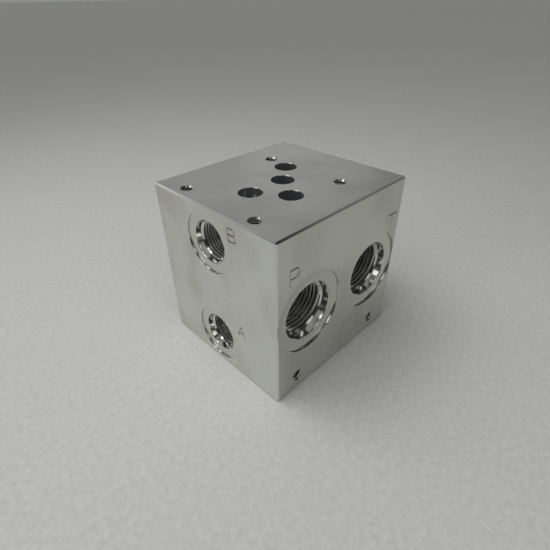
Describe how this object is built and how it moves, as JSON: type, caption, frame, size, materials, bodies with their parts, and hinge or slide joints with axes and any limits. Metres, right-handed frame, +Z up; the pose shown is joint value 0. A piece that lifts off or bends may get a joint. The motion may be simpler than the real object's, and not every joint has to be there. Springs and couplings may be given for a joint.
{
  "type": "hydraulic manifold block",
  "caption": "Single-station hydraulic manifold block with a valve seat on top, two large pressure and tank ports in front and two work ports at the side.",
  "frame": {"origin": "middle of the underside", "axes": "+Z up towards the valve seat, -Y towards the face with the pressure and tank ports, -X towards the face with the work ports"},
  "size_m": [0.0884, 0.0818, 0.0884],
  "materials": {
    "machined_aluminium": "bare, milled and bored"
  },
  "bodies": {
    "root": {"manifold_block": "machined_aluminium"}
  },
  "joints": []
}
